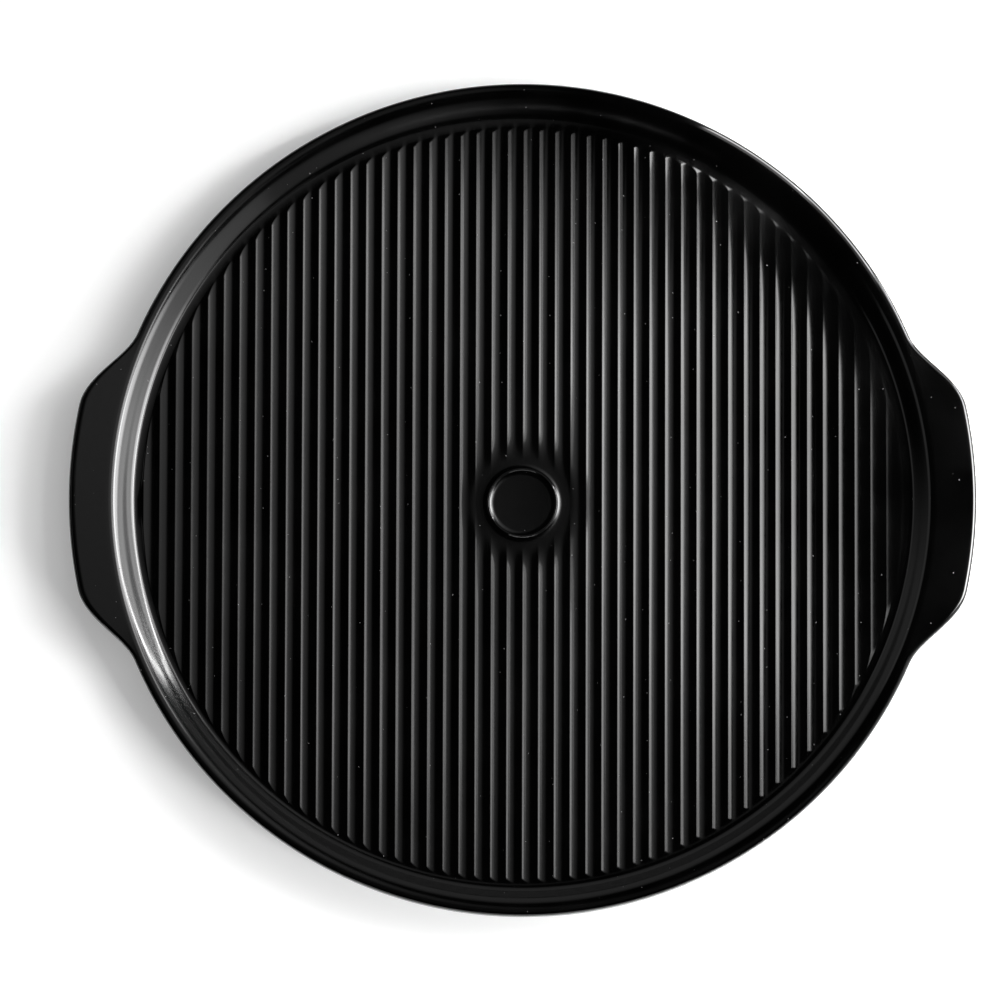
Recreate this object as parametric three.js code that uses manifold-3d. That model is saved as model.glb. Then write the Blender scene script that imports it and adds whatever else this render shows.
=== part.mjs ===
// Round ceramic baking dish for focaccia: a ridged floor in a shallow well, a rim that sweeps out into
// two lug handles, and a bare foot ring under a black glaze. Millimetres, +Z up, the foot stands on z = 0.
import * as THREE from 'three';
import { mergeVertices } from 'three/addons/utils/BufferGeometryUtils.js';
import Module from 'manifold-3d';

// Rim and lugs, seen from above
const rimDiameter = 370.6;
const lugReach = 14.7; // how far a lug stands out past the rim
const lugWidth = 116; // between the middles of its two sweeps
const lugSweep = 38; // length of the S-shaped sweep from the lug's edge to the rim
const flangeThickness = 7.5; // rim band and lugs
const flangeEdgeRadius = 1.6;

// Well
const wellDepth = 8; // rim top down to the floor between the ridges
const rimWidth = 2.2; // rim edge to where the wall starts
const wallRun = 12.8; // level run of the wall's S-curve
const wallFootEase = 3.8; // how far the curve keeps level at its foot
const wallTopEase = 5.4; // the same at its top

// Underside
const floorThickness = 10;
const rimOverhang = 3.8; // rim edge past the outer wall
const outerWallRun = 9.5; // level run of the outer wall's slope
const baseEdgeRadius = 8;
const footHeight = 3;
const footWidth = 8;
const footInset = 14; // base edge to the foot ring
const footEdgeRadius = 1;

// Ridges
const ridgePitch = 6.97;
const ridgeHeight = 0.45;
const outerRidgeHeight = 0.2; // at the left and right edge of the field
const outerRidgeRun = 48; // how far from that edge the ridges start to get lower
const ridgeCrest = 0.25; // width of the narrow top
const ridgeFlat = 0.6; // flat bottom of the flute between two ridges
const ridgeMargin = 1.9; // plain strip between the ridge ends and the wall's foot
const ridgeEndRun = 2; // length of a ridge's slanted tip beside the wall
const padEndRun = 4.5; // the same beside the pad

// Ring in the middle of the floor, on a plain pad
const ringDiameter = 34.7;
const ringWidth = 4.1;
const ringHeight = 0.9;
const padMargin = 3.4; // pad's edge past the ring

// Glaze
const glazeThickness = 0.5;
const glazeClearance = 0.3; // between the glaze and the clay under it

// Facets
const turnSteps = 56; // steps in a full turn
const ringSteps = 32; // the same for the small ring and pad
const cornerSteps = 2; // steps in a rounded corner
const wallSteps = 5; // steps in the wall's S-curve
const sweepSteps = 8; // steps in a lug's sweep
const flankSteps = 2; // steps in a ridge's hollow flank
const rootDepth = 1; // how far a raised form runs down into what carries it
const overshoot = 10; // how far a cutting form runs past what it cuts

const rimRadius = rimDiameter / 2;
const baseRadius = rimRadius - rimOverhang - outerWallRun;
const footRadius = baseRadius - footInset;
const wellRadius = rimRadius - rimWidth - wallRun;
const fieldRadius = wellRadius - ridgeMargin;
const padRadius = ringDiameter / 2 + padMargin;
const floorLevel = footHeight + floorThickness;
const rimLevel = floorLevel + wellDepth;
const flangeLevel = rimLevel - flangeThickness;
const flangeEdge = Math.min(flangeEdgeRadius, 0.4 * flangeThickness);

const wasm = await Module();
wasm.setup();

// A closed geometry as a solid that can be joined and cut
function solid(geometry) {
  geometry.deleteAttribute('normal');
  geometry.deleteAttribute('uv');
  const merged = mergeVertices(geometry, 1e-4);
  const index = merged.index.array;
  const triangles = [];
  for (let i = 0; i < index.length; i += 3) {
    const [a, b, c] = [index[i], index[i + 1], index[i + 2]];
    if (a !== b && b !== c && c !== a) triangles.push(a, b, c);
  }
  const vertProperties = Float32Array.from(merged.attributes.position.array);
  const triVerts = Uint32Array.from(triangles);
  return new wasm.Manifold(new wasm.Mesh({ numProp: 3, vertProperties, triVerts }));
}

// A named part from a solid
function part(name, body, color, roughness) {
  const mesh = body.getMesh();
  const geometry = new THREE.BufferGeometry();
  geometry.setAttribute('position', new THREE.BufferAttribute(mesh.vertProperties, 3));
  geometry.setIndex(new THREE.BufferAttribute(mesh.triVerts, 1));
  geometry.computeVertexNormals();
  const material = new THREE.MeshStandardMaterial({ color, roughness, metalness: 0 });
  const result = new THREE.Mesh(geometry, material);
  result.name = name;
  return result;
}

// An open outline through corner points, each rounded to the radius it carries
function rounded(corners) {
  const points = [];
  corners.forEach(({ at, radius }, i) => {
    if (!radius) {
      points.push(at);
      return;
    }
    const before = corners[i - 1].at.clone().sub(at).normalize();
    const after = corners[i + 1].at.clone().sub(at).normalize();
    const half = Math.acos(before.dot(after)) / 2;
    const middle = before.clone().add(after).setLength(radius / Math.sin(half)).add(at);
    const start = before.multiplyScalar(radius / Math.tan(half)).add(at).sub(middle);
    const end = after.multiplyScalar(radius / Math.tan(half)).add(at).sub(middle);
    const turn = Math.atan2(start.cross(end), start.dot(end));
    for (let step = 0; step <= cornerSteps; step++) {
      points.push(start.clone().rotateAround(new THREE.Vector2(), (turn * step) / cornerSteps).add(middle));
    }
  });
  return points;
}

const corner = (x, y, radius = 0) => ({ at: new THREE.Vector2(x, y), radius });

// An outline moved to its left by a distance, with its ends kept level when it is open
function shifted(points, distance, closed) {
  const count = points.length;
  return points.map((point, i) => {
    const last = closed ? points[(i + count - 1) % count] : points[Math.max(i - 1, 0)];
    const next = closed ? points[(i + 1) % count] : points[Math.min(i + 1, count - 1)];
    const into = point.clone().sub(last).normalize();
    const out = next.clone().sub(point).normalize();
    const along = into.add(out).normalize();
    const square = new THREE.Vector2(-along.y, along.x);
    const edge = out.lengthSq() > 0 ? out : along;
    const stretch = Math.max(square.dot(new THREE.Vector2(-edge.y, edge.x)), 0.5);
    return square.multiplyScalar(distance / stretch).add(point);
  });
}

// A profile of radius and height turned about the vertical axis
function turned(profile, steps = turnSteps) {
  return solid(new THREE.LatheGeometry(profile, steps).rotateX(Math.PI / 2));
}

// Plan outline of the rim: a circle that sweeps out into a lug on the left and the right
function flangeOutline() {
  const middleRadius = rimRadius + lugReach / 2;
  const middle = Math.asin(lugWidth / 2 / middleRadius);
  const sweepStart = middle - lugSweep / 2 / middleRadius;
  const sweepEnd = middle + lugSweep / 2 / middleRadius;
  const quarter = Math.PI / 2;
  const stretches = [
    [0, sweepStart, cornerSteps],
    [sweepStart, sweepEnd, sweepSteps],
    [sweepEnd, quarter, Math.round((turnSteps * (quarter - sweepEnd)) / (4 * quarter))],
  ];
  const angles = stretches.flatMap(([from, to, steps]) =>
    Array.from({ length: steps }, (_, i) => from + ((to - from) * i) / steps));
  const half = [...angles, quarter, ...angles.slice(1).reverse().map((angle) => Math.PI - angle)];
  return [...half, ...half.map((angle) => angle + Math.PI)].map((angle) => {
    const fromLug = Math.abs(Math.atan(Math.tan(angle)));
    const radius = rimRadius + lugReach * (1 - THREE.MathUtils.smoothstep(fromLug, sweepStart, sweepEnd));
    return new THREE.Vector2(radius * Math.cos(angle), radius * Math.sin(angle));
  });
}

// The rim band and lugs as one plate with rounded edges
function flange(inset) {
  const edge = flangeEdge - inset;
  const geometry = new THREE.ExtrudeGeometry(new THREE.Shape(shifted(flangeOutline(), inset, true)), {
    depth: flangeThickness - 2 * flangeEdge,
    bevelThickness: edge,
    bevelSize: edge,
    bevelOffset: -edge,
    bevelSegments: cornerSteps,
  });
  return solid(geometry.translate(0, 0, flangeLevel + flangeEdge));
}

// The bowl under the rim, still without its well
function bowl(inset) {
  const profile = rounded([
    corner(0, footHeight),
    corner(baseRadius, footHeight, baseEdgeRadius),
    corner(baseRadius + outerWallRun, flangeLevel + flangeEdge),
  ]);
  const skin = shifted(profile, inset, false);
  skin.push(new THREE.Vector2(0, skin.at(-1).y));
  skin[0].x = 0;
  return turned(skin);
}

// The space inside the well, from the floor up past the rim
function well(inset) {
  const foot = new THREE.Vector2(wellRadius, floorLevel);
  const top = new THREE.Vector2(wellRadius + wallRun, rimLevel);
  const wall = new THREE.CubicBezierCurve(
    foot,
    new THREE.Vector2(foot.x + wallFootEase, floorLevel),
    new THREE.Vector2(top.x - wallTopEase, rimLevel),
    top,
  );
  const profile = [new THREE.Vector2(0, floorLevel), ...wall.getPoints(wallSteps)];
  const skin = shifted(profile, -inset, false);
  skin[0].x = 0;
  skin.push(new THREE.Vector2(skin.at(-1).x, rimLevel + overshoot));
  skin.push(new THREE.Vector2(0, rimLevel + overshoot));
  return turned(skin);
}

// A disc whose edge slants above a level: it narrows upwards, or widens with a run below zero
function slantedDisc(radius, run, level, steps) {
  const low = level - 2 * rootDepth;
  const high = level + 2 * ridgeHeight;
  return turned([
    new THREE.Vector2(0, low),
    new THREE.Vector2(radius, low),
    new THREE.Vector2(radius, level),
    new THREE.Vector2(radius - 2 * run, high),
    new THREE.Vector2(0, high),
  ], steps);
}

// Height of the ridge at a place across the floor
function crestHeight(middle) {
  const past = Math.abs(middle) - (fieldRadius - outerRidgeRun);
  const share = THREE.MathUtils.clamp(past / outerRidgeRun, 0, 1);
  return THREE.MathUtils.lerp(ridgeHeight, outerRidgeHeight, share);
}

// Section of one ridge: two hollow flanks that rise from the floor to a narrow crest
function ridgeSection(middle, level) {
  const run = (ridgePitch - ridgeFlat - ridgeCrest) / 2;
  const height = crestHeight(middle);
  const flank = Array.from({ length: flankSteps + 1 }, (_, i) => i / flankSteps)
    .map((rise) => new THREE.Vector2(ridgeCrest / 2 + run * (1 - rise), level + height * rise ** 2));
  flank.unshift(new THREE.Vector2(ridgeCrest / 2 + run, level - rootDepth));
  const mirrored = flank.map((point) => new THREE.Vector2(-point.x, point.y)).reverse();
  return new THREE.Shape([...flank, ...mirrored].map((point) => point.add(new THREE.Vector2(middle, 0))));
}

// Parallel ridges over the floor, ending at a circle inside the wall and at the pad
function ridges(inset) {
  const level = floorLevel - inset;
  const count = Math.floor((fieldRadius - ridgeCrest) / ridgePitch);
  const middles = Array.from({ length: 2 * count + 1 }, (_, i) => (i - count) * ridgePitch);
  const sections = middles.map((middle) => ridgeSection(middle, level));
  const length = 2 * fieldRadius;
  const bars = new THREE.ExtrudeGeometry(sections, { depth: length, bevelEnabled: false });
  return solid(bars.rotateX(Math.PI / 2).translate(0, length / 2, 0))
    .intersect(slantedDisc(fieldRadius, ridgeEndRun, level, turnSteps))
    .subtract(slantedDisc(padRadius, -padEndRun, level, ringSteps));
}

// Raised ring on the pad
function ring(inset) {
  const level = floorLevel - inset;
  const outer = ringDiameter / 2 - inset;
  const inner = ringDiameter / 2 - ringWidth + inset;
  const slope = (outer - inner) / 4;
  return turned([
    new THREE.Vector2(inner, level - rootDepth),
    new THREE.Vector2(outer, level - rootDepth),
    new THREE.Vector2(outer, level),
    new THREE.Vector2(outer - slope, level + ringHeight),
    new THREE.Vector2(inner + slope, level + ringHeight),
    new THREE.Vector2(inner, level),
    new THREE.Vector2(inner, level - rootDepth),
  ], ringSteps);
}

// The whole dish without its foot, drawn in on every side by an inset
function dish(inset) {
  return flange(inset).add(bowl(inset)).subtract(well(inset)).add(ridges(inset)).add(ring(inset));
}

// Bare foot ring, rooted in the clay above it
function foot() {
  const top = footHeight + glazeThickness + glazeClearance + rootDepth;
  const inner = footRadius - footWidth;
  return turned([
    ...rounded([
      corner(inner, top),
      corner(inner, 0, footEdgeRadius),
      corner(footRadius, 0, footEdgeRadius),
      corner(footRadius, top),
    ]),
    new THREE.Vector2(inner, top),
  ]);
}

// A plain cylinder round the axis, from below the base up into the floor
function core(radius) {
  const low = -overshoot;
  const high = footHeight + floorThickness / 2;
  return turned([
    new THREE.Vector2(0, low),
    new THREE.Vector2(radius, low),
    new THREE.Vector2(radius, high),
    new THREE.Vector2(0, high),
  ]);
}

const clay = dish(glazeThickness + glazeClearance).add(foot());
const glaze = dish(0).subtract(dish(glazeThickness));

const focacciaDish = new THREE.Group();
focacciaDish.add(
  part('stoneware_body', clay, 0x8a7a68, 0.85),
  part('glaze_coat', glaze.subtract(core(footRadius + glazeClearance)), 0x0b0b0c, 0.12),
  part('base_glaze', glaze.intersect(core(footRadius - footWidth - glazeClearance)), 0x0b0b0c, 0.2),
);

export default focacciaDish;
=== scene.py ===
import math

import bmesh
import bpy
from mathutils import Matrix, Vector


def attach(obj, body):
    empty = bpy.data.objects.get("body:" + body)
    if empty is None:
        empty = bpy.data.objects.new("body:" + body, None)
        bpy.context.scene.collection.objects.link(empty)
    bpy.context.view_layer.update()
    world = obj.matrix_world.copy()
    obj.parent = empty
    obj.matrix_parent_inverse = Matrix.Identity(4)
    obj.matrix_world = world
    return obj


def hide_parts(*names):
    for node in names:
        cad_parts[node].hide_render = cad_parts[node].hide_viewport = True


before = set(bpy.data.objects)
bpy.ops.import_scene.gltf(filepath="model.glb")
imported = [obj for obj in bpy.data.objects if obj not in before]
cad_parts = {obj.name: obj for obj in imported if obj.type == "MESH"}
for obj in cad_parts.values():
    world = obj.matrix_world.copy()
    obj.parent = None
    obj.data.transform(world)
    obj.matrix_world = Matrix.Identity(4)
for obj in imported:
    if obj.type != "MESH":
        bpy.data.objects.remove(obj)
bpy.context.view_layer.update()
mm = 0.001
print("frame loaded:", ", ".join(sorted(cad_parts)))


# Node building

class Wire:  # a node socket; sums on it add Math nodes to its tree
    def __init__(self, tree, socket=None):
        self.tree = tree
        self.socket = socket

    def plug(self, target, value):
        if isinstance(value, Wire):
            self.tree.links.new(value.socket, target)
        else:
            target.default_value = value

    def node(self, kind, settings=None, sockets=None, output=0):  # any node but a sum
        made = self.tree.nodes.new(kind)
        for name, value in (settings or {}).items():
            if name == "stops":
                while len(made.color_ramp.elements) < len(value):
                    made.color_ramp.elements.new(1)
                for stop, (place, colour) in zip(made.color_ramp.elements, value):
                    stop.position = place
                    stop.color = colour
            else:
                setattr(made, name, value)
        for name, value in (sockets or {}).items():
            self.plug(made.inputs[name], value)
        return Wire(self.tree, made.outputs[output]) if made.outputs else made

    def sum(self, operation, *values):
        return self.node("ShaderNodeMath", {"operation": operation}, dict(enumerate(values)))

    def mapped(self, fromLow, fromHigh, toLow=0.0, toHigh=1.0, smooth=False):  # held at both ends
        ease = "SMOOTHSTEP" if smooth else "LINEAR"
        values = {0: self, 1: fromLow, 2: fromHigh, 3: toLow, 4: toHigh}
        return self.node("ShaderNodeMapRange", {"interpolation_type": ease}, values)

    def axes(self):  # x, y and z of a vector
        return [self.node("ShaderNodeSeparateXYZ", sockets={0: self}, output=axis) for axis in range(3)]

    def __add__(self, other):
        return self.sum("ADD", self, other)

    def __sub__(self, other):
        return self.sum("SUBTRACT", self, other)

    def __rsub__(self, other):
        return self.sum("SUBTRACT", other, self)

    def __mul__(self, other):
        return self.sum("MULTIPLY", self, other)

    def __truediv__(self, other):
        return self.sum("DIVIDE", self, other)

    def __pow__(self, other):
        return self.sum("POWER", self, other)

    def __abs__(self):
        return self.sum("ABSOLUTE", self)


def geometryTree(name, sizes):  # a tree with one named input for each size, and its starting wires
    tree = bpy.data.node_groups.new(name, "GeometryNodeTree")
    tree.interface.new_socket("Geometry", in_out="INPUT", socket_type="NodeSocketGeometry")
    tree.interface.new_socket("Geometry", in_out="OUTPUT", socket_type="NodeSocketGeometry")
    kinds = {int: "NodeSocketInt", float: "NodeSocketFloat"}
    for label, value in sizes.items():
        kind = kinds.get(type(value), "NodeSocketMaterial")
        tree.interface.new_socket(label, in_out="INPUT", socket_type=kind)
    source = tree.nodes.new("NodeGroupInput")
    inputs = {socket.name: Wire(tree, socket) for socket in source.outputs if socket.name}
    return tree, inputs


def grownMesh(name, start, tree, sizes):  # runs a tree on a starting mesh and keeps the plain result
    piece = bpy.data.objects.new(name, start)
    bpy.context.scene.collection.objects.link(piece)
    modifier = piece.modifiers.new("grow", "NODES")
    modifier.node_group = tree
    for item in tree.interface.items_tree:
        if item.in_out == "INPUT" and item.name in sizes:
            modifier[item.identifier] = sizes[item.name]
    depsgraph = bpy.context.evaluated_depsgraph_get()
    grown = bpy.data.meshes.new_from_object(piece.evaluated_get(depsgraph))
    piece.modifiers.remove(modifier)
    bpy.data.objects.remove(piece)
    return grown


# Materials

glazeLook = {
    "black": (0.0002, 0.0002, 0.0002, 1),
    "grey": (0.0006, 0.0006, 0.0006, 1),  # where the glaze runs thinner
    "cloud": 38.0,  # patches to the metre
    "cloudDetail": 3.0,
    "greyFrom": (0.35, 0.75),  # part of the clouds that blends black into grey
    "roughness": (0.09, 0.15),
    "roughFrom": (0.3, 0.7),
    "grain": 1600.0,  # ripples to the metre
    "grainDepth": 0.006,
    "peel": 260.0,  # wider ripples
    "peelDepth": 0.05,
    "speckPitch": 95.0,  # cells to the metre, one speck at most in each
    "speckShare": 0.34,
    "speckSize": (0.14 * mm, 0.36 * mm),
    "speckCore": 0.5,  # share of a speck's radius inside its soft edge
    "speckLevel": (0.5, 0.7),  # no specks where the glaze stands steeper than this
    "speckColour": (0.07, 0.07, 0.07, 1),
    "speckRoughness": 0.35,
    "speckDepth": 0.08,
    "bumpStrength": 0.1,
    "bumpHeight": 1 * mm,
    "ior": 1.52,
}


def shaderStart(name):
    material = bpy.data.materials.new(name)
    material.use_nodes = True
    tree = material.node_tree
    tree.nodes.clear()
    start = Wire(tree)
    place = start.node("ShaderNodeTexCoord", output=3)  # Object coordinates
    return material, start, place


def shaderEnd(start, shader):
    start.node("ShaderNodeOutputMaterial", sockets={"Surface": shader})


def noise(place, scale, detail=2.0):
    return place.node("ShaderNodeTexNoise", sockets={"Vector": place, "Scale": scale, "Detail": detail})


def blendColour(factor, low, high):
    return factor.node("ShaderNodeMix", {"data_type": "RGBA"}, {0: factor, 6: low, 7: high}, output=2)


def glazeMaterial():
    look = glazeLook
    material, start, place = shaderStart("blackGlaze")
    cloud = noise(place, look["cloud"], look["cloudDetail"])
    cell = {"Vector": place, "Scale": look["speckPitch"], "Randomness": 1.0}
    flat = {"feature": "F1", "voronoi_dimensions": "2D"}
    speckGap = start.node("ShaderNodeTexVoronoi", flat, cell) / look["speckPitch"]
    tint = start.node("ShaderNodeTexVoronoi", flat, cell, output=1)
    chance = start.node("ShaderNodeSeparateColor", sockets={0: tint})
    spread = start.node("ShaderNodeSeparateColor", sockets={0: tint}, output=1)
    reach = spread.mapped(0.0, 1.0, *look["speckSize"])
    normal = start.node("ShaderNodeTexCoord", output=1)
    level = start.node("ShaderNodeSeparateXYZ", sockets={0: normal}, output=2)
    chosen = chance.sum("LESS_THAN", chance, look["speckShare"]) * abs(level).mapped(*look["speckLevel"])
    speck = chosen * (1 - speckGap.mapped(reach * look["speckCore"], reach, smooth=True))
    plain = blendColour(cloud.mapped(*look["greyFrom"]), look["black"], look["grey"])
    colour = blendColour(speck, plain, look["speckColour"])
    roughness = cloud.mapped(*look["roughFrom"], *look["roughness"]) + speck * look["speckRoughness"]
    grain = noise(place, look["grain"]) * look["grainDepth"]
    peel = noise(place, look["peel"]) * look["peelDepth"]
    bump = start.node("ShaderNodeBump", sockets={
        "Height": grain + peel - speck * look["speckDepth"],
        "Strength": look["bumpStrength"], "Distance": look["bumpHeight"]})
    shader = start.node("ShaderNodeBsdfPrincipled", sockets={
        "Base Color": colour, "Roughness": roughness, "Normal": bump, "IOR": look["ior"]})
    shaderEnd(start, shader)
    return material


clayLook = {
    "light": (0.62, 0.51, 0.4, 1),
    "dark": (0.47, 0.37, 0.28, 1),
    "grog": (0.3, 0.22, 0.16, 1),  # darker grains in the clay
    "cloud": 60.0,  # patches to the metre
    "cloudDetail": 4.0,
    "lightFrom": (0.3, 0.7),  # part of the clouds that blends dark into light
    "grain": 900.0,
    "grainDetail": 3.0,
    "grogPitch": 420.0,
    "grogEdge": (0.12, 0.24),
    "grogShare": 0.6,  # how strongly the grains colour the clay
    "grogDepth": 0.4,
    "roughness": (0.78, 0.95),
    "roughFrom": (0.2, 0.8),
    "bumpStrength": 0.35,
    "bumpHeight": 0.3 * mm,
}


def clayMaterial():
    look = clayLook
    material, start, place = shaderStart("firedClay")
    cloud = noise(place, look["cloud"], look["cloudDetail"])
    grain = noise(place, look["grain"], look["grainDetail"])
    cell = {"Vector": place, "Scale": look["grogPitch"]}
    grog = 1 - start.node("ShaderNodeTexVoronoi", sockets=cell).mapped(*look["grogEdge"])
    plain = blendColour(cloud.mapped(*look["lightFrom"]), look["dark"], look["light"])
    colour = blendColour(grog * look["grogShare"], plain, look["grog"])
    roughness = grain.mapped(*look["roughFrom"], *look["roughness"])
    bump = start.node("ShaderNodeBump", sockets={
        "Height": grain + grog * look["grogDepth"],
        "Strength": look["bumpStrength"], "Distance": look["bumpHeight"]})
    shader = start.node("ShaderNodeBsdfPrincipled", sockets={
        "Base Color": colour, "Roughness": roughness, "Normal": bump})
    shaderEnd(start, shader)
    return material


glaze = glazeMaterial()
clay = clayMaterial()
print("materials made")


# Shape of the dish, shared by its pieces

dish = {  # metres
    "rimRadius": 185.3 * mm,
    "rimLevel": 20.5 * mm,
    "lugRise": 0.5 * mm,  # a lug's edge above the rim
    "rimWidth": 2.6 * mm,  # level strip between the wall and the rim's edge
    "stripEnd": 0.1,  # share of the strip's level part before and behind its two inner rows
    "flangeThickness": 7.5 * mm,
    "edgeRadius": 1.6 * mm,
    "lugReach": 14.7 * mm,
    "lugWidth": 116 * mm,
    "lugSweep": 38 * mm,
    "wallRun": 12.2 * mm,
    "wallFootEase": 3.8 * mm,  # how long the wall's curve stays low at its foot
    "wallTopEase": 5.4 * mm,
    "floorLevel": 13 * mm,
    "rimOverhang": 3.8 * mm,
    "outerWallRun": 9.5 * mm,
    "overhangRadius": 1.5 * mm,
    "baseEdgeRadius": 8 * mm,
    "footHeight": 3 * mm,
    "footWidth": 8 * mm,
    "footInset": 14 * mm,
    "footEdgeRadius": 1 * mm,
    "glazeThickness": 0.5 * mm,
    "glazeGap": 0.3 * mm,
    "weld": 0.002 * mm,  # vertices of a turned skin closer than this are one
}
dish["wellRadius"] = dish["rimRadius"] - dish["rimWidth"] - dish["wallRun"]
dish["baseRadius"] = dish["rimRadius"] - dish["rimOverhang"] - dish["outerWallRun"]
dish["footRadius"] = dish["baseRadius"] - dish["footInset"]
dish["flangeLevel"] = dish["rimLevel"] - dish["flangeThickness"]


def arcPoints(corners, steps):  # an outline through (radius, height, rounding) corners
    points = []
    for index, (x, z, rounding) in enumerate(corners):
        at = Vector((x, z))
        if not rounding:
            points.append(at)
            continue
        before = (Vector(corners[index - 1][:2]) - at).normalized()
        after = (Vector(corners[index + 1][:2]) - at).normalized()
        half = before.angle(after) / 2
        middle = at + (before + after).normalized() * (rounding / math.sin(half))
        first = at + before * (rounding / math.tan(half)) - middle
        last = at + after * (rounding / math.tan(half)) - middle
        turn = first.angle_signed(last)
        for step in range(steps + 1):
            angle = -turn * step / steps
            spun = Vector((first.x * math.cos(angle) - first.y * math.sin(angle),
                           first.x * math.sin(angle) + first.y * math.cos(angle)))
            points.append(middle + spun)
    return points


def wallPoints(steps):  # the well's wall, from its foot up to the rim
    foot = Vector((dish["wellRadius"], dish["floorLevel"]))
    top = Vector((dish["wellRadius"] + dish["wallRun"], dish["rimLevel"]))
    low = foot + Vector((dish["wallFootEase"], 0))
    high = top - Vector((dish["wallTopEase"], 0))
    points = []
    for step in range(steps + 1):
        t = step / steps
        points.append(foot * (1 - t) ** 3 + low * 3 * t * (1 - t) ** 2
                      + high * 3 * t ** 2 * (1 - t) + top * t ** 3)
    return points


def rimPoints(steps):  # over the rim, round its edge and down to the edge of the base
    edge = dish["edgeRadius"]
    outer = dish["rimRadius"]
    wall = dish["baseRadius"] + dish["outerWallRun"]
    foot = dish["footRadius"]
    strip = dish["rimWidth"] - edge
    end = dish["stripEnd"]
    return arcPoints([
        (outer - dish["rimWidth"], dish["rimLevel"], 0),
        (outer - edge - (1 - end) * strip, dish["rimLevel"], 0),
        (outer - edge - end * strip, dish["rimLevel"], 0),
        (outer, dish["rimLevel"], edge),
        (outer, dish["flangeLevel"], edge),
        (wall, dish["flangeLevel"], dish["overhangRadius"]),
        (dish["baseRadius"], dish["footHeight"], dish["baseEdgeRadius"]),
        (foot, dish["footHeight"], 0),
    ], steps)[1:]


def drawnIn(points, distance):  # an outline moved to its right by a distance
    moved = []
    for index, point in enumerate(points):
        into = point - points[max(index - 1, 0)]
        out = points[min(index + 1, len(points) - 1)] - point
        along = (into.normalized() + out.normalized()).normalized()
        moved.append(point + Vector((along.y, -along.x)) * distance)
    return moved


def turnedTree():  # turns an outline about the upright axis and sweeps its rim out into the two lugs
    sizes = {"Steps": 1, "Lug Reach": 1.0, "Lug Rise": 1.0, "Sweep Start": 1.0, "Sweep End": 1.0,
             "Lug From": 1.0, "Lug To": 1.0, "Finish": glaze}  # only their kinds count here
    tree, given = geometryTree("turnedOutline", sizes)
    start = Wire(tree)
    outline = given["Geometry"]
    count = start.node("GeometryNodeAttributeDomainSize", {"component": "MESH"}, {0: outline})
    spokes = given["Steps"] + 1
    grid = start.node("GeometryNodeMeshGrid", sockets={"Vertices X": spokes, "Vertices Y": count})
    index = start.node("GeometryNodeInputIndex")
    row = index.sum("MODULO", index, count)
    column = index.sum("FLOOR", (index + 0.5) / count)  # half a step keeps the rounding safe
    position = start.node("GeometryNodeInputPosition")
    sampled = start.node("GeometryNodeSampleIndex", {"data_type": "FLOAT_VECTOR", "domain": "POINT"},
                         {"Geometry": outline, "Value": position, "Index": row})
    radius, _, height = sampled.axes()
    angle = column / given["Steps"] * math.tau
    side = angle.sum("ARCSINE", abs(angle.sum("SINE", angle)))
    lug = 1 - side.mapped(given["Sweep Start"], given["Sweep End"], smooth=True)
    share = lug * radius.mapped(given["Lug From"], given["Lug To"])
    reach = radius + share * given["Lug Reach"]
    placed = start.node("ShaderNodeCombineXYZ", sockets={
        0: reach * angle.sum("COSINE", angle), 1: reach * angle.sum("SINE", angle),
        2: height + share * given["Lug Rise"]})
    swept = start.node("GeometryNodeSetPosition", sockets={"Geometry": grid, "Position": placed})
    closed = start.node("GeometryNodeMergeByDistance", sockets={"Geometry": swept, "Distance": dish["weld"]})
    whole = start.node("GeometryNodeRealizeInstances", sockets={0: closed})
    finished = start.node("GeometryNodeSetMaterial", sockets={"Geometry": whole, "Material": given["Finish"]})
    start.node("NodeGroupOutput", sockets={"Geometry": finished})
    return tree


turned = turnedTree()


def turnedMesh(name, outline, steps, finish, inset=0.0):
    start = bpy.data.meshes.new(name)
    start.from_pydata([(point.x, 0, point.y) for point in outline], [], [])
    middle = dish["rimRadius"] + dish["lugReach"] / 2
    bearing = math.asin(dish["lugWidth"] / 2 / middle)
    half = dish["lugSweep"] / 2 / middle
    sizes = {
        "Steps": steps,
        "Lug Reach": dish["lugReach"],
        "Lug Rise": dish["lugRise"],
        "Sweep Start": bearing - half,
        "Sweep End": bearing + half,
        "Lug From": dish["rimRadius"] - dish["rimWidth"] - inset,
        "Lug To": dish["rimRadius"] - dish["edgeRadius"] - inset,
        "Finish": finish,
    }
    return grownMesh(name, start, turned, sizes)


# Ridged floor

ridges = {  # metres
    "pitch": 6.97 * mm,
    "height": 0.45 * mm,
    "crestRadius": 0.11 * mm,  # softness of the crest
    "leftHeight": 0.2 * mm,  # height of the last ridges beside the wall
    "rightHeight": 0.14 * mm,
    "leftFrom": 152 * mm,  # where the ridges start to get lower
    "rightFrom": 120 * mm,
    "rightEnd": 163 * mm,  # past this they get faint
    "fieldRadius": 168.5 * mm,
    "endRun": 1.6 * mm,  # slanted tip of a ridge at the wall
    "padRadius": 20.5 * mm,
    "padRun": 11 * mm,  # soft end of a ridge at the pad
    "margin": 0.2 * mm,
    "shift": -1.5 * mm,  # the field and its ring sit a little in front of the middle
    "fadeAim": Vector((0.75, 0.66)),  # towards the back right the ridges get low
    "fadeFrom": 140 * mm,
    "fadeTo": 164 * mm,
    "fadeKeep": 0.2,  # share of the height that is left there
    "columns": 16,  # mesh columns to a ridge
    "crowding": 1.8,  # how much the columns crowd to the crest
    "rows": 30,
    "rowShares": (0.24, 0.62),  # shares of the rows up to the zone between the ends, and up to its end
    "rowEase": 1.6,  # how much the rows between crowd towards the wall
    "padZone": 1.4,  # length of the zone at the pad, in runs of the soft end
    "endZone": 3.0,  # and of the one at the wall, in runs of the slanted tip
    "zoneLimit": 3.0,  # neither is longer than the ridge's length over this
    "tipBlend": 0.06 * mm,
    "weld": 0.004 * mm,
}


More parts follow.
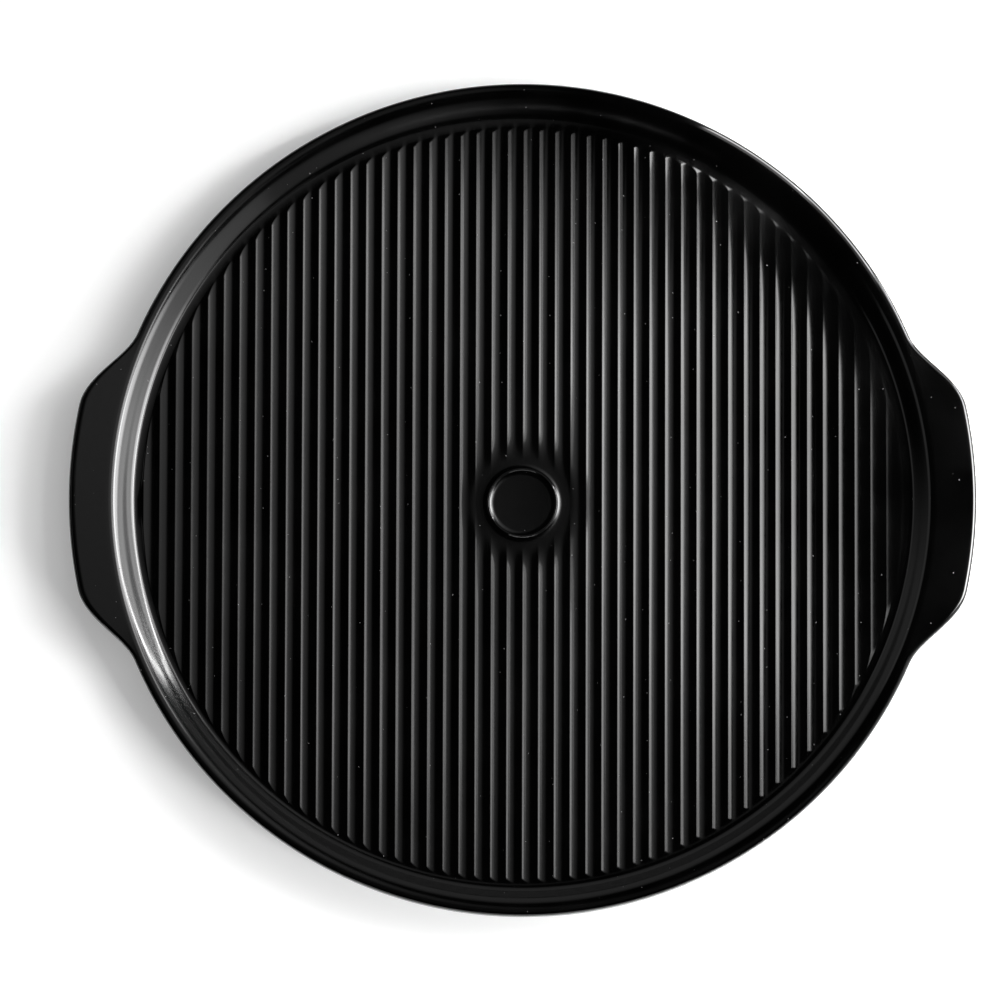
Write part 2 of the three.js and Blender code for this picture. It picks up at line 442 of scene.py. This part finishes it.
def ridgeTree(sizes):
    tree, given = geometryTree("ridgedFloor", sizes)
    start = Wire(tree)
    across = given["Ridges"] * given["Columns"] + 1
    grid = start.node("GeometryNodeMeshGrid", sockets={"Vertices X": across, "Vertices Y": given["Rows"]})
    index = start.node("GeometryNodeInputIndex")
    row = index.sum("MODULO", index, given["Rows"])
    column = index.sum("FLOOR", (index + 0.5) / given["Rows"])

    # across the ridges, with the columns crowded to each crest
    cell = column / given["Columns"]
    ridge = cell.sum("FLOOR", cell + 0.0001)  # a little more keeps the rounding safe
    off = (cell - ridge) * 2 - 1
    crowded = off.sum("SIGN", off) * abs(off) ** given["Crowding"]
    rawX = (ridge + 0.5 + crowded / 2 - given["Ridges"] / 2) * given["Pitch"]
    edge = given["Field Radius"] + given["Margin"]
    x = rawX.sum("MINIMUM", rawX.sum("MAXIMUM", rawX, 0 - edge), edge)
    fromCrest = abs(crowded) * given["Pitch"] / 2

    # along the ridges, with the rows crowded to both ends
    yEnd = x.sum("SQRT", x.sum("MAXIMUM", edge * edge - x * x, 0.0))
    hole = given["Pad Radius"] - given["Margin"]
    yStart = x.sum("SQRT", x.sum("MAXIMUM", hole * hole - x * x, 0.0))
    length = yEnd - yStart
    share = row / (given["Rows"] - 1)
    longest = length / ridges["zoneLimit"]
    padZone = length.sum("MINIMUM", given["Pad Run"] * ridges["padZone"], longest)
    endZone = length.sum("MINIMUM", given["End Run"] * ridges["endZone"], longest)
    padShare, endShare = ridges["rowShares"]
    between = 1 - (1 - share.mapped(padShare, endShare)) ** ridges["rowEase"]
    y = (yStart + share.mapped(0.0, padShare) * padZone + between * (length - padZone - endZone)
         + share.mapped(endShare, 1.0) * endZone)

    # height of the ridges, cut by a cone at the wall and eased away at the pad
    soft = given["Crest Radius"]
    rounded = x.sum("SQRT", fromCrest * fromCrest + soft * soft) - soft
    flank = 1 - rounded / (given["Pitch"] / 2)
    last = given["Field Radius"]
    right = x.mapped(given["Right From"], last, 1.0, given["Right Height"] / given["Height"])
    right = right * x.mapped(given["Right End"], last, 1.0, given["Fade Keep"])
    left = (0 - x).mapped(given["Left From"], last, 1.0, given["Left Height"] / given["Height"])
    raised = given["Height"] * right * left * flank ** 2
    radius = x.sum("SQRT", x * x + y * y)
    cone = (given["Field Radius"] - radius) * given["Height"] * right / given["End Run"]
    capped = raised.sum("SMOOTH_MIN", raised, cone, ridges["tipBlend"])
    padEase = radius.mapped(given["Pad Radius"], given["Pad Radius"] + given["Pad Run"], smooth=True)
    height = capped.sum("MAXIMUM", capped * padEase, 0.0)
    placed = start.node("ShaderNodeCombineXYZ", sockets={0: x, 1: y, 2: given["Floor Level"] + height})
    half = start.node("GeometryNodeSetPosition", sockets={"Geometry": grid, "Position": placed})

    # the other half, mirrored
    turnedOver = start.node("GeometryNodeTransform", sockets={"Geometry": half, "Scale": (1, -1, 1)})
    flipped = start.node("GeometryNodeFlipFaces", sockets={0: turnedOver})
    both = start.node("GeometryNodeJoinGeometry", sockets={0: half})
    tree.links.new(flipped.socket, both.socket.node.inputs[0])
    closed = start.node("GeometryNodeMergeByDistance", sockets={"Geometry": both, "Distance": ridges["weld"]})

    # lower towards the back right
    spotX, spotY, spotZ = start.node("GeometryNodeInputPosition").axes()
    out = spotX * given["Fade X"] + spotY * given["Fade Y"]
    kept = out.mapped(given["Fade From"], given["Fade To"], 1.0, given["Fade Keep"], smooth=True)
    lowered = start.node("ShaderNodeCombineXYZ", sockets={
        0: spotX, 1: spotY, 2: given["Floor Level"] + (spotZ - given["Floor Level"]) * kept})
    faded = start.node("GeometryNodeSetPosition", sockets={"Geometry": closed, "Position": lowered})
    whole = start.node("GeometryNodeRealizeInstances", sockets={0: faded})
    finished = start.node("GeometryNodeSetMaterial", sockets={"Geometry": whole, "Material": given["Finish"]})
    start.node("NodeGroupOutput", sockets={"Geometry": finished})
    return tree


def ridgedMesh():
    sizes = {
        "Pitch": ridges["pitch"], "Height": ridges["height"], "Crest Radius": ridges["crestRadius"],
        "Left Height": ridges["leftHeight"], "Right Height": ridges["rightHeight"],
        "Left From": ridges["leftFrom"], "Right From": ridges["rightFrom"], "Right End": ridges["rightEnd"],
        "Field Radius": ridges["fieldRadius"], "Margin": ridges["margin"], "End Run": ridges["endRun"],
        "Pad Radius": ridges["padRadius"], "Pad Run": ridges["padRun"], "Floor Level": dish["floorLevel"],
        "Fade X": ridges["fadeAim"].x, "Fade Y": ridges["fadeAim"].y,
        "Fade From": ridges["fadeFrom"], "Fade To": ridges["fadeTo"], "Fade Keep": ridges["fadeKeep"],
        "Ridges": 2 * math.ceil(ridges["fieldRadius"] / ridges["pitch"]) + 1,
        "Columns": ridges["columns"], "Rows": ridges["rows"], "Crowding": ridges["crowding"],
        "Finish": glaze,
    }
    return grownMesh("ridgedFloor", bpy.data.meshes.new("ridgedFloor"), ridgeTree(sizes), sizes)


# Ring on the pad

ring = {  # metres
    "radius": 15 * mm,  # of its crest
    "crestWidth": 0.2 * mm,
    "bevelRun": 0.25 * mm,  # steep sides of the crest
    "bevelSlope": 1.19,
    "easeRun": 0.2 * mm,
    "flankRun": 2.05 * mm,  # hollow flanks that run out on the pad
    "flankSlope": 0.4,
    "padRadius": 19.6 * mm,
    "flankSteps": 8,
    "easeSteps": 4,
    "bevelShares": (0.15, 0.85, 1.0),  # rows of a steep side
    "turnSteps": 256,
}


def ringSide():  # (distance from the crest, height) of one side, from its foot to the crest
    flankHeight = ring["flankRun"] * ring["flankSlope"] / 2
    easeHeight = ring["easeRun"] * (ring["flankSlope"] + ring["bevelSlope"]) / 2
    bevelFoot = ring["crestWidth"] / 2 + ring["bevelRun"]
    easeFoot = bevelFoot + ring["easeRun"]
    points = []
    for step in range(ring["flankSteps"] + 1):
        t = step / ring["flankSteps"]
        points.append((easeFoot + ring["flankRun"] * (1 - t), flankHeight * t ** 2))
    for step in range(1, ring["easeSteps"] + 1):
        t = step / ring["easeSteps"]
        rise = ring["flankSlope"] * t + (ring["bevelSlope"] - ring["flankSlope"]) * t ** 2 / 2
        points.append((easeFoot - ring["easeRun"] * t, flankHeight + ring["easeRun"] * rise))
    for t in ring["bevelShares"]:
        height = flankHeight + easeHeight + ring["bevelRun"] * ring["bevelSlope"] * t
        points.append((bevelFoot - ring["bevelRun"] * t, height))
    return points


def ringPoints():
    floor = dish["floorLevel"]
    side = ringSide()
    inner = [Vector((ring["radius"] - away, floor + height)) for away, height in side]
    outer = [Vector((ring["radius"] + away, floor + height)) for away, height in reversed(side)]
    return [Vector((0, floor))] + inner + outer + [Vector((ring["padRadius"], floor))]


# Joining the skins

def addMesh(built, mesh):  # copies a mesh into a growing one and gives its new vertices
    before = len(built.verts)
    built.from_mesh(mesh)
    built.verts.ensure_lookup_table()
    return built.verts[before:]


def rimLoop(verts, near, far):  # open edge between two radii, in the order of its bearings
    found = [vert for vert in verts if vert.is_boundary and near < vert.co.xy.length < far]
    return sorted(found, key=lambda vert: math.atan2(vert.co.y, vert.co.x))


def bridge(built, first, second):  # triangles between two open edges that run round the axis
    def bearing(loop, step):
        vert = loop[step % len(loop)]
        return math.atan2(vert.co.y, vert.co.x) + math.tau * (step // len(loop))

    a = b = 0
    while a < len(first) or b < len(second):
        stepA = b == len(second) or (a < len(first) and bearing(first, a + 1) <= bearing(second, b + 1))
        corners = [first[a % len(first)], second[b % len(second)]]
        if stepA:
            a += 1
            corners.append(first[a % len(first)])
        else:
            b += 1
            corners.append(second[b % len(second)])
        built.faces.new(corners)


def finishedPiece(name, built, finish, node):
    bmesh.ops.recalc_face_normals(built, faces=built.faces)
    mesh = bpy.data.meshes.new(name)
    built.to_mesh(mesh)
    built.free()
    mesh.materials.clear()
    mesh.materials.append(finish)
    mesh.shade_smooth()
    piece = bpy.data.objects.new(name, mesh)
    bpy.context.scene.collection.objects.link(piece)
    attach(piece, "root")
    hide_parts(node)
    mesh.calc_loop_triangles()
    print(name, "made,", len(mesh.loop_triangles), "triangles")


coat = {
    "wallSteps": 30,
    "edgeSteps": 8,
    "turnSteps": 512,
    "insideWallSteps": 4,  # the hidden inner skin is coarser
    "insideEdgeSteps": 2,
    "insideTurnSteps": 256,
}


def makeGlazeCoat():
    foot = dish["footRadius"] + dish["glazeGap"]
    outer = wallPoints(coat["wallSteps"]) + rimPoints(coat["edgeSteps"])
    outer[-1].x = foot
    floor = Vector((0, dish["floorLevel"]))
    thickness = dish["glazeThickness"]
    rough = [floor] + wallPoints(coat["insideWallSteps"]) + rimPoints(coat["insideEdgeSteps"])
    inner = drawnIn(rough, thickness)
    inner[0].x = 0
    inner[-1].x = foot
    built = bmesh.new()
    outside = addMesh(built, turnedMesh("outerSkin", outer, coat["turnSteps"], glaze))
    field = addMesh(built, ridgedMesh())
    pad = addMesh(built, turnedMesh("padSkin", ringPoints(), ring["turnSteps"], glaze))
    inside = addMesh(built, turnedMesh("innerSkin", inner, coat["insideTurnSteps"], glaze, thickness))
    for vert in [*field, *pad]:
        vert.co.y += ridges["shift"]
    middle = (dish["wellRadius"] + dish["footRadius"]) / 2
    fieldEdge = rimLoop(field, middle, 1)
    fieldHole = rimLoop(field, 0, middle)
    bridge(built, fieldHole, rimLoop(pad, 0, 1))
    bridge(built, fieldEdge, rimLoop(outside, middle, 1))
    bridge(built, rimLoop(outside, 0, middle), rimLoop(inside, 0, 1))
    finishedPiece("glazeCoat", built, glaze, "glaze_coat")


clayMesh = {
    "wallSteps": 12,
    "edgeSteps": 4,
    "footSteps": 5,
    "turnSteps": 320,
}


def makeClayBody():
    inset = dish["glazeThickness"] + dish["glazeGap"]
    floor = Vector((0, dish["floorLevel"]))
    outline = [floor] + wallPoints(clayMesh["wallSteps"]) + rimPoints(clayMesh["edgeSteps"])
    body = drawnIn(outline, inset)
    body[0].x = 0
    high = body[-1].y
    outer = dish["footRadius"]
    inner = outer - dish["footWidth"]
    rounding = dish["footEdgeRadius"]
    body[-1] = Vector((outer, high))
    foot = [(outer, high, 0), (outer, 0, rounding), (inner, 0, rounding), (inner, high, 0)]
    body += arcPoints(foot, clayMesh["footSteps"])[1:]
    body.append(Vector((0, high)))
    built = bmesh.new()
    addMesh(built, turnedMesh("clayBody", body, clayMesh["turnSteps"], clay, inset))
    finishedPiece("clayBody", built, clay, "stoneware_body")


baseSkin = {
    "edgeRadius": 0.2 * mm,
    "edgeSteps": 4,
    "turnSteps": 256,
}


def makeBaseGlaze():
    outer = dish["footRadius"] - dish["footWidth"] - dish["glazeGap"]
    low = dish["footHeight"]
    high = low + dish["glazeThickness"]
    corners = [(0, low, 0), (outer, low, baseSkin["edgeRadius"]), (outer, high, 0), (0, high, 0)]
    outline = arcPoints(corners, baseSkin["edgeSteps"])
    built = bmesh.new()
    addMesh(built, turnedMesh("baseGlaze", outline, baseSkin["turnSteps"], glaze))
    finishedPiece("baseGlaze", built, glaze, "base_glaze")


makeGlazeCoat()
makeClayBody()
makeBaseGlaze()


# Floor, lights and camera

stageLook = {
    "size": 14.0,
    "white": (0.8, 0.8, 0.8, 1),
    "glow": 0.3,  # strength of the white that the camera and reflections see besides the lit floor
    "whiteFrom": (0.34, 0.52),  # this far from the dish the camera sees plain white
    "darkRoom": 0.004,
    "roomGlow": 0.3,  # low down the glaze mirrors pale walls
    "glowFrom": (0.25, 0.62),  # how steeply up they fade out
    "darkSide": (-0.75, -0.35),  # and where they start from the dark front left of the room
}


def rayKinds(start):  # camera, glossy and transmission rays
    kinds = "Is Camera Ray", "Is Glossy Ray", "Is Transmission Ray"
    return [start.node("ShaderNodeLightPath", output=kind) for kind in kinds]


def makeFloor():
    half = stageLook["size"] / 2
    mesh = bpy.data.meshes.new("floor")
    corners = [(-half, -half, 0), (half, -half, 0), (half, half, 0), (-half, half, 0)]
    mesh.from_pydata(corners, [], [(0, 1, 2, 3)])
    material, start, place = shaderStart("floorWhite")
    camera, glossy, clear = rayKinds(start)
    away = start.node("ShaderNodeVectorMath", {"operation": "LENGTH"}, {0: place}, output=1)
    plain = away.mapped(*stageLook["whiteFrom"], stageLook["glow"], 1.0, smooth=True)
    seen = camera * plain + (glossy + clear) * stageLook["glow"]
    lit = start.node("ShaderNodeBsdfDiffuse", sockets={"Color": stageLook["white"]})
    glow = start.node("ShaderNodeEmission", sockets={"Color": seen, "Strength": 1.0})
    both = start.node("ShaderNodeAddShader", sockets={0: lit, 1: glow})
    back = start.node("ShaderNodeNewGeometry", output=6)  # from below the floor lets the light through
    through = start.node("ShaderNodeBsdfTransparent")
    shaderEnd(start, start.node("ShaderNodeMixShader", sockets={0: back, 1: both, 2: through}))
    mesh.materials.append(material)
    floor = bpy.data.objects.new("floor", mesh)
    bpy.context.scene.collection.objects.link(floor)


def makeWorld():
    world = bpy.data.worlds.new("studio")
    world.use_nodes = True
    tree = world.node_tree
    tree.nodes.clear()
    start = Wire(tree)
    camera, glossy, clear = rayKinds(start)
    x, y, z = start.node("ShaderNodeTexCoord").axes()  # direction
    low = 1 - z.mapped(*stageLook["glowFrom"], smooth=True)
    side = ((x + y) * math.sqrt(0.5)).mapped(*stageLook["darkSide"], smooth=True)
    strength = low * side * (glossy + clear) * stageLook["roomGlow"] + stageLook["darkRoom"] + camera
    background = start.node("ShaderNodeBackground", sockets={"Color": (1, 1, 1, 1), "Strength": strength})
    start.node("ShaderNodeOutputWorld", sockets={"Surface": background})
    bpy.context.scene.world = world


panel = {  # upright soft panel to the right of the dish; glows list (place, share of the radiance)
    "x": 0.24,
    "radiance": 20.0,
    "spread": math.radians(155),
    "low": 0.12,
    "high": 0.58,
    "front": -0.24,
    "back": 0.27,
    "upGlow": [(0.12, 0.1), (0.18, 0.2), (0.25, 0.42), (0.32, 0.58), (0.36, 0.54), (0.41, 0.5), (0.45, 0.6),
               (0.5, 0.55), (0.53, 0.34), (0.58, 0.15)],
    "alongGlow": [(-0.24, 0.0), (-0.13, 0.0), (-0.105, 0.01), (-0.085, 0.06), (-0.065, 0.19), (-0.045, 0.5),
                  (-0.025, 0.8), (0.0, 0.94), (0.02, 1.0)],
    "frontSlant": (0.36, 0.55),  # above this height its front edge leans back by this much
    "backCut": (0.2, 0.21),  # its back edge
    "backGlow": [(0.1, 1.0), (0.15, 0.8), (0.175, 0.28), (0.2, 0.06), (0.26, 0.04)],  # the same higher up
    "backFrom": (0.36, 0.44),
    "footSlant": (0.065, 0.15, 1.75, 0.4),  # its rising foot: from where and what height, slope, highest
    "footEdge": 0.05,
}
lowPanel = {  # dimmer and further off, seen by the steep part of the wall
    "x": 0.5,
    "radiance": 4.0,
    "low": 0.0,
    "high": 1.25,
    "front": -0.46,
    "back": 0.385,
    "upGlow": [(0.0, 0.3), (0.052, 0.35), (0.064, 1.0), (0.44, 1.0), (0.48, 0.0)],
    "alongGlow": [(-0.46, 0.09), (-0.3, 0.165), (-0.18, 0.255), (-0.076, 0.5), (0.016, 0.8), (0.12, 0.9),
                  (0.36, 1.15)],
    "wallUp": [(0.54, 0.0), (0.6, 3.2), (0.7, 3.2), (0.78, 0.0)],  # patch for the lines along the wall
    "wallAlong": [(-0.16, 0.0), (-0.1, 0.04), (-0.05, 0.2), (0.0, 0.6), (0.05, 0.9), (0.2, 1.0), (0.25, 0.6),
                  (0.3, 0.0)],
    "endUp": [(0.82, 0.0), (0.9, 1.6), (1.15, 1.6), (1.25, 0.0)],  # patches for the ends of the ridges
    "endAlong": [(-0.07, 0.0), (-0.03, 1.1), (0.06, 1.0), (0.13, 0.0), (0.2, 0.0), (0.25, 1.0), (0.33, 1.0),
                 (0.37, 0.0)],
    "split": 0.2,  # made of two lamps, so that the bright band has one to itself
    "band": (0.29, 0.36, 2.4),  # slanting bright band: a point on it and its fall
    "bandBend": (0.332, 6.5),  # where it starts to fall faster, and how much
    "bandWidth": (0.05, 0.11),
    "bandGlow": (0.2, 0.28, 8.0),
}
upper = {  # the upper part of the near panel, which reaches further back
    "radiance": 7.0,
    "high": 1.1,
    "back": 0.3,
    "upGlow": [(0.58, 0.42), (0.62, 0.29), (0.66, 0.32), (0.7, 0.6), (0.74, 0.92), (0.8, 0.88), (0.85, 0.42),
               (0.9, 0.1), (1.1, 0.04)],
    "alongGlow": [(-0.24, 0.03), (-0.08, 0.1), (-0.05, 0.3), (-0.03, 0.7), (-0.01, 0.95), (0.2, 0.95),
                  (0.25, 1.4), (0.275, 1.4), (0.3, 0.0)],
}
canopy = {  # dim panel above, aimed down to the left, that the level glaze mirrors
    "rightEdge": Vector((0.132, 0.03, 0.2)),
    "aim": Vector((-0.45, -0.24, -0.86)),
    "width": 0.6,
    "depth": 0.8,
    "radiance": 0.0856,
    "spread": math.radians(60),
    "leftGlow": (-0.15, -0.1, 1.9),  # brighter towards its left edge
    "cutAim": Vector((0.65, 0.76)),  # dark towards its back right corner
    "cut": (0.145, 0.18),
    "alongGlow": [(-0.35, 0.25), (-0.1, 0.7), (0.05, 1.2), (0.2, 2.0), (0.4, 2.6)],
}
leftPanel = {  # dim, seen by the right wall
    "x": -0.5,
    "front": -0.15,
    "back": 0.4,
    "radiance": 0.36,
    "upGlow": [(0.3, 0.0), (0.36, 1.0), (0.5, 1.0), (0.56, 0.0)],
}
edgeLamps = {  # small lamps close to the right edge of the rim, which light its rounding
    "out": 0.035,  # from the edge, level and up
    "up": 0.047,
    "height": 0.08,
    "spread": math.radians(60),
    "places": [  # bearing, radius of the edge, width, radiance
        (4, dish["rimRadius"] + dish["lugReach"], 0.15, 3.0),
        (29, dish["rimRadius"], 0.06, 0.8),
        (43, dish["rimRadius"], 0.06, 1.8),
        (57, dish["rimRadius"], 0.06, 2.0),
    ],
}
frontStrip = {  # low, for the ring's crest
    "place": Vector((0, -1, 0.09)),
    "width": 1.0,
    "height": 0.14,
    "radiance": 4.0,
}
fill = {"height": 2.4, "size": 2.0, "radiance": 0.5}
floorLights = {  # low lamps in front and behind that keep the floor white, not seen in the glaze
    "places": [Vector((0.42, -0.5, 0.32)), Vector((0.42, 0.5, 0.32))],
    "width": 0.3,
    "radiances": [24.0, 0.8],
}


def glowRamp(place, stops):  # shares between (place, share) stops
    low, high = stops[0][0], stops[-1][0]
    ramp = [((at - low) / (high - low), (share, share, share, 1)) for at, share in stops]
    return place.node("ShaderNodeValToRGB", {"stops": ramp}, {0: place.mapped(low, high)})


def shadeLight(light, glow):  # a glow that changes over a lamp's face; glow takes x, y and z
    light.use_nodes = True
    tree = light.node_tree
    tree.nodes.clear()
    start = Wire(tree)
    x, y, z = start.node("ShaderNodeNewGeometry").axes()
    emission = start.node("ShaderNodeEmission", sockets={"Color": glow(x, y, z), "Strength": 1.0})
    start.node("ShaderNodeOutputLight", sockets={"Surface": emission})


def addLight(name, place, axes, width, height, radiance, spread=math.pi):  # axes: along width, along height
    data = bpy.data.lights.new(name, "AREA")
    data.shape = "RECTANGLE"
    data.size = width
    data.size_y = height
    data.spread = spread
    data.energy = radiance * math.pi * width * height
    light = bpy.data.objects.new(name, data)
    light.location = place
    light.rotation_mode = "QUATERNION"
    across, up = (axis.normalized() for axis in axes)
    light.rotation_quaternion = Matrix((across, up, across.cross(up))).transposed().to_quaternion()
    light.visible_camera = False
    bpy.context.scene.collection.objects.link(light)
    return light


def uprightLight(name, x, front, back, low, high, radiance, glow):  # faces left
    place = Vector((x, (front + back) / 2, (low + high) / 2))
    axes = Vector((0, 1, 0)), Vector((0, 0, 1))
    light = addLight(name, place, axes, back - front, high - low, radiance, panel["spread"])
    shadeLight(light.data, glow)


def panelGlow(x, y, z):
    rise, height, steepness, most = panel["footSlant"]
    foot = y.sum("MAXIMUM", y - rise, 0.0) * steepness + height
    lit = (z - foot.sum("MINIMUM", foot, most)).mapped(0.0, panel["footEdge"], smooth=True)
    slantFrom, slant = panel["frontSlant"]
    along = y - z.sum("MAXIMUM", z - slantFrom, 0.0) * slant
    cut = 1 - y.mapped(*panel["backCut"])
    inside = cut + (glowRamp(y, panel["backGlow"]) - cut) * z.mapped(*panel["backFrom"])
    return glowRamp(z, panel["upGlow"]) * glowRamp(along, panel["alongGlow"]) * lit * inside


def upperGlow(x, y, z):
    return glowRamp(z, upper["upGlow"]) * glowRamp(y, upper["alongGlow"])


def lowGlow(x, y, z):
    main = glowRamp(z, lowPanel["upGlow"]) * glowRamp(y, lowPanel["alongGlow"])
    wall = glowRamp(z, lowPanel["wallUp"]) * glowRamp(y, lowPanel["wallAlong"])
    bandPlace, bandHeight, fall = lowPanel["band"]
    bend, steeper = lowPanel["bandBend"]
    away = (z - bandHeight) + (y - bandPlace) * fall + y.sum("MAXIMUM", y - bend, 0.0) * steeper
    near = 1 - abs(away).mapped(*lowPanel["bandWidth"], smooth=True)
    bandFrom, bandTo, brighter = lowPanel["bandGlow"]
    band = near * y.mapped(bandFrom, bandTo, 0.0, brighter)
    ends = glowRamp(z, lowPanel["endUp"]) * glowRamp(y, lowPanel["endAlong"])
    return main.sum("MAXIMUM", main, band) + wall + ends


def canopyGlow(x, y, z):
    leftEnd, leftStart, brighter = canopy["leftGlow"]
    out = x * canopy["cutAim"].x + y * canopy["cutAim"].y
    kept = 1 - out.mapped(*canopy["cut"], smooth=True)
    return x.mapped(leftEnd, leftStart, brighter, 1.0) * glowRamp(y, canopy["alongGlow"]) * kept


def makeLights():
    uprightLight("panel", panel["x"], panel["front"], panel["back"], panel["low"], panel["high"],
                 panel["radiance"], panelGlow)
    uprightLight("upperPanel", panel["x"], panel["front"], upper["back"], panel["high"], upper["high"],
                 upper["radiance"], upperGlow)
    for name, front, back in (("lowPanel", lowPanel["front"], lowPanel["split"]),
                              ("bandPanel", lowPanel["split"], lowPanel["back"])):
        uprightLight(name, lowPanel["x"], front, back, lowPanel["low"], lowPanel["high"],
                     lowPanel["radiance"], lowGlow)
    away = -canopy["aim"].normalized()
    across = Vector((0, 1, 0)).cross(away).normalized()
    up = away.cross(across)
    middle = canopy["rightEdge"] - across * canopy["width"] / 2
    above = addLight("canopy", middle, (across, up), canopy["width"], canopy["depth"], canopy["radiance"],
                     canopy["spread"])
    shadeLight(above.data, canopyGlow)
    front, back = leftPanel["front"], leftPanel["back"]
    low, high = leftPanel["upGlow"][0][0], leftPanel["upGlow"][-1][0]
    middle = Vector((leftPanel["x"], (front + back) / 2, (low + high) / 2))
    facingRight = Vector((0, -1, 0)), Vector((0, 0, 1))
    side = addLight("leftPanel", middle, facingRight, back - front, high - low, leftPanel["radiance"])
    shadeLight(side.data, lambda x, y, z: glowRamp(z, leftPanel["upGlow"]))
    for bearing, radius, width, radiance in edgeLamps["places"]:
        outward = Vector((math.cos(math.radians(bearing)), math.sin(math.radians(bearing)), 0))
        along = Vector((-outward.y, outward.x, 0))
        rise = Vector((0, 0, edgeLamps["up"]))
        place = outward * (radius + edgeLamps["out"]) + rise + Vector((0, 0, dish["rimLevel"]))
        away = outward * edgeLamps["out"] + rise
        addLight("edgeLamp", place, (along, away.cross(along)), width, edgeLamps["height"], radiance,
                 edgeLamps["spread"])
    addLight("frontStrip", frontStrip["place"], (Vector((1, 0, 0)), Vector((0, 0, 1))), frontStrip["width"],
             frontStrip["height"], frontStrip["radiance"])
    level = Vector((1, 0, 0)), Vector((0, 1, 0))
    overhead = Vector((0, 0, fill["height"]))
    soft = addLight("fill", overhead, level, fill["size"], fill["size"], fill["radiance"])
    soft.visible_glossy = False
    width = floorLights["width"]
    for place, radiance in zip(floorLights["places"], floorLights["radiances"]):
        along = Vector((1, 0, 0)) if place.y < 0 else Vector((-1, 0, 0))
        lamp = addLight("floorLight", place, (along, place.cross(along)), width, width, radiance)
        lamp.visible_glossy = False


view = {  # camera of the photograph
    "target": Vector((-0.01, -0.0007, 0.017)),
    "distance": 5.0,
    "leanFront": math.radians(8.3),
    "roll": math.radians(0.18),
    "frameWidth": 0.4408,
    "sensor": 36.0,
}


def makeCamera():
    data = bpy.data.cameras.new("camera")
    data.sensor_width = view["sensor"]
    data.lens = view["sensor"] * view["distance"] / view["frameWidth"]
    camera = bpy.data.objects.new("camera", data)
    back = Vector((0, -math.tan(view["leanFront"]), 1)).normalized()
    camera.location = view["target"] + back * view["distance"]
    right = Vector((0, 1, 0)).cross(back).normalized()
    up = back.cross(right)
    upright = up * math.cos(view["roll"]) - right * math.sin(view["roll"])
    across = upright.cross(back)
    camera.rotation_mode = "QUATERNION"
    camera.rotation_quaternion = Matrix((across, upright, back)).transposed().to_quaternion()
    bpy.context.scene.collection.objects.link(camera)
    bpy.context.scene.camera = camera


makeFloor()
makeWorld()
makeLights()
makeCamera()
bpy.context.scene.view_settings.view_transform = "Standard"
print("stage set")
